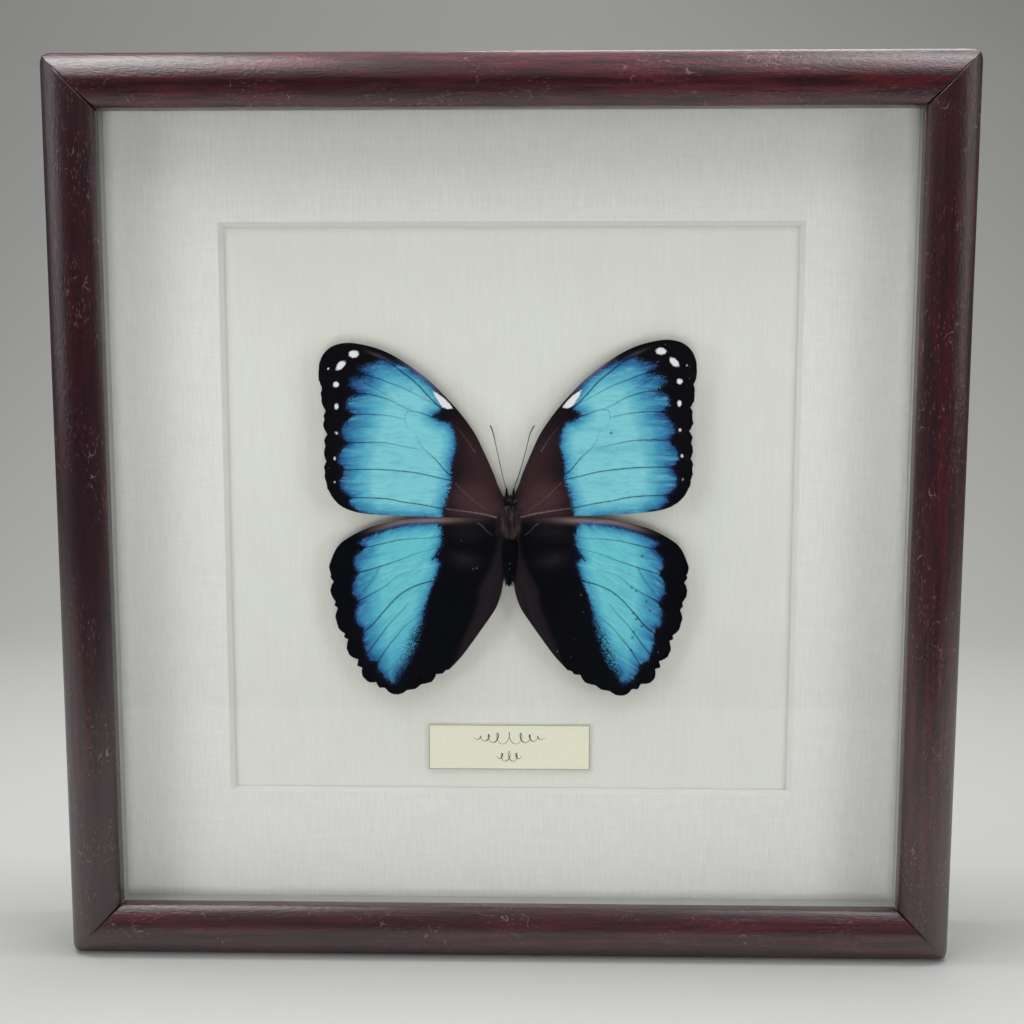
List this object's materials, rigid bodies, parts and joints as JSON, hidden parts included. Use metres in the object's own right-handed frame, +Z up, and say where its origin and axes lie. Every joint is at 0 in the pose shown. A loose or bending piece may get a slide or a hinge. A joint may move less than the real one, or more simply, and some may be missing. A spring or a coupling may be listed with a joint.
{
  "type": "framed butterfly specimen",
  "caption": "Dried blue butterfly spread behind glass in a square dark wooden box frame, with a bevelled mat, a small label card and a back panel with a hanger.",
  "frame": {"origin": "middle of the underside of the frame, on the surface that it stands on", "axes": "+X to the right seen from the front, +Y from the glass to the back panel, +Z up; the front faces -Y"},
  "size_m": [0.25, 0.029, 0.25],
  "materials": {
    "wood": "dark mahogany, semi-gloss lacquer",
    "glass": "clear picture glass",
    "spacer_card": "matte",
    "mat_card": "matte, fine linen texture",
    "backing_card": "matte, smooth",
    "hardboard": "pressed wood fibre board",
    "steel": "galvanised",
    "label_paper": "cream card",
    "cork": "natural cork",
    "wing": "iridescent blue scales with black borders",
    "body_fur": "dark furry chitin",
    "chitin": "dark thin chitin"
  },
  "bodies": {
    "root": {"rail_top": "wood", "rail_right": "wood", "rail_bottom": "wood", "rail_left": "wood", "glass_pane": "glass", "spacer_top": "spacer_card", "spacer_bottom": "spacer_card", "spacer_left": "spacer_card", "spacer_right": "spacer_card", "mat_board": "mat_card", "backing_board": "backing_card", "back_panel": "hardboard", "glazier_point_top_1": "steel", "glazier_point_top_2": "steel", "glazier_point_right_1": "steel", "glazier_point_right_2": "steel", "glazier_point_bottom_1": "steel", "glazier_point_bottom_2": "steel", "glazier_point_left_1": "steel", "glazier_point_left_2": "steel", "hanger_plate": "steel", "hanger_rivet_left": "steel", "hanger_rivet_right": "steel", "label_card": "label_paper", "cork_pad": "cork", "forewing_left": "wing", "forewing_right": "wing", "hindwing_left": "wing", "hindwing_right": "wing", "butterfly_body": "body_fur", "antenna_left": "chitin", "antenna_right": "chitin"}
  },
  "joints": []
}
